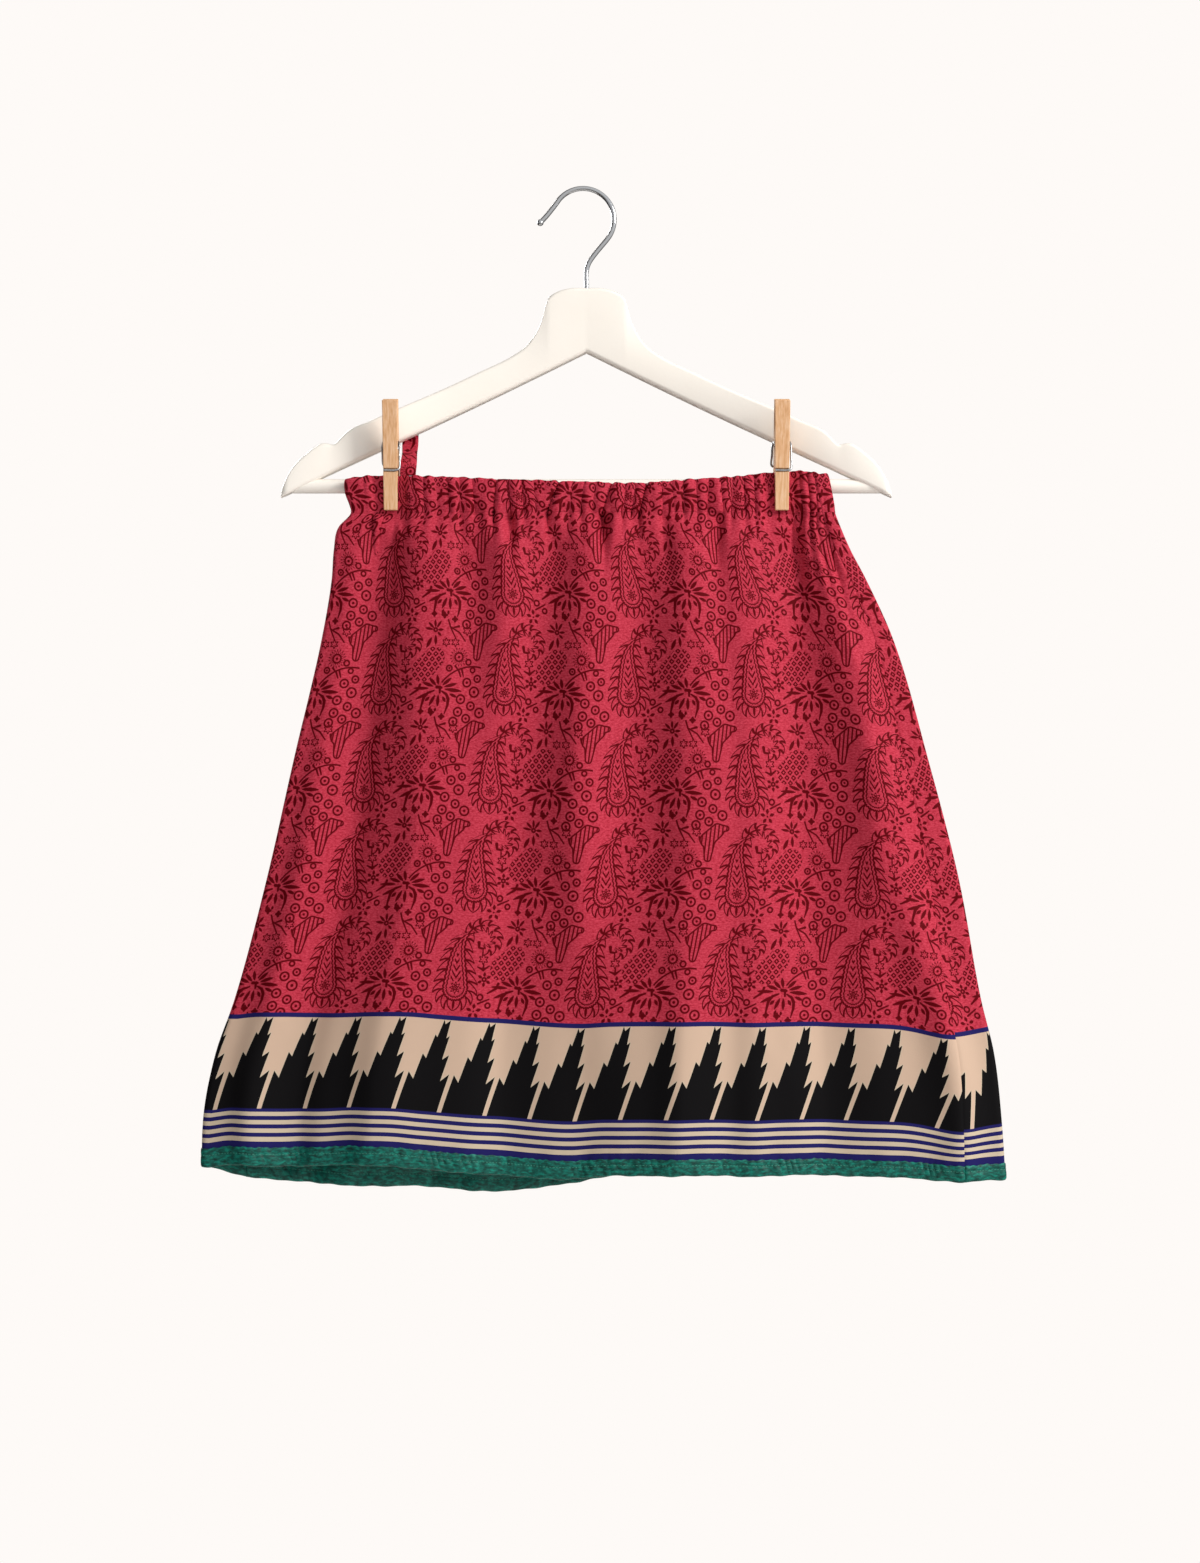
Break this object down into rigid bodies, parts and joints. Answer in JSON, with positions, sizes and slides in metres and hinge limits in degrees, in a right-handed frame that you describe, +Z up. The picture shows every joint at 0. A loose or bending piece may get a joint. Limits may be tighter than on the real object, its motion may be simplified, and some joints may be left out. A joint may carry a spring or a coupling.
{
  "type": "elastic-waist skirt on hanger",
  "caption": "A-line skirt with a gathered elastic waist and a bordered hem, clipped by clothespins to the bar of a contoured wooden hanger with a wire hook.",
  "frame": {"origin": "inside of the top of the hook, where the rail or nail that carries the hanger touches it", "axes": "+Z up along the hanging garment, +X to the right of someone facing its front, +Y from the front to the back"},
  "size_m": [0.5632, 0.0691, 0.7088],
  "materials": {
    "printed_cloth": "soft satin, printed all over, with a printed border",
    "hem_cloth": "soft satin",
    "painted_wood": "satin paint",
    "chromed_steel": "polished",
    "pin_wood": "bare, sanded",
    "spring_steel": "zinc plated"
  },
  "bodies": {
    "root": {"front_panel": "printed_cloth", "back_panel": "printed_cloth", "waist_casing_front": "printed_cloth", "waist_casing_back": "printed_cloth", "hem_band_front": "hem_cloth", "hem_band_back": "hem_cloth", "waist_tie": "printed_cloth", "hanger_body": "painted_wood", "hanger_bar": "painted_wood", "hanger_hook": "chromed_steel", "pin_left_front_leg": "pin_wood", "pin_left_back_leg": "pin_wood", "pin_left_spring": "spring_steel", "pin_right_front_leg": "pin_wood", "pin_right_back_leg": "pin_wood", "pin_right_spring": "spring_steel"}
  },
  "joints": []
}
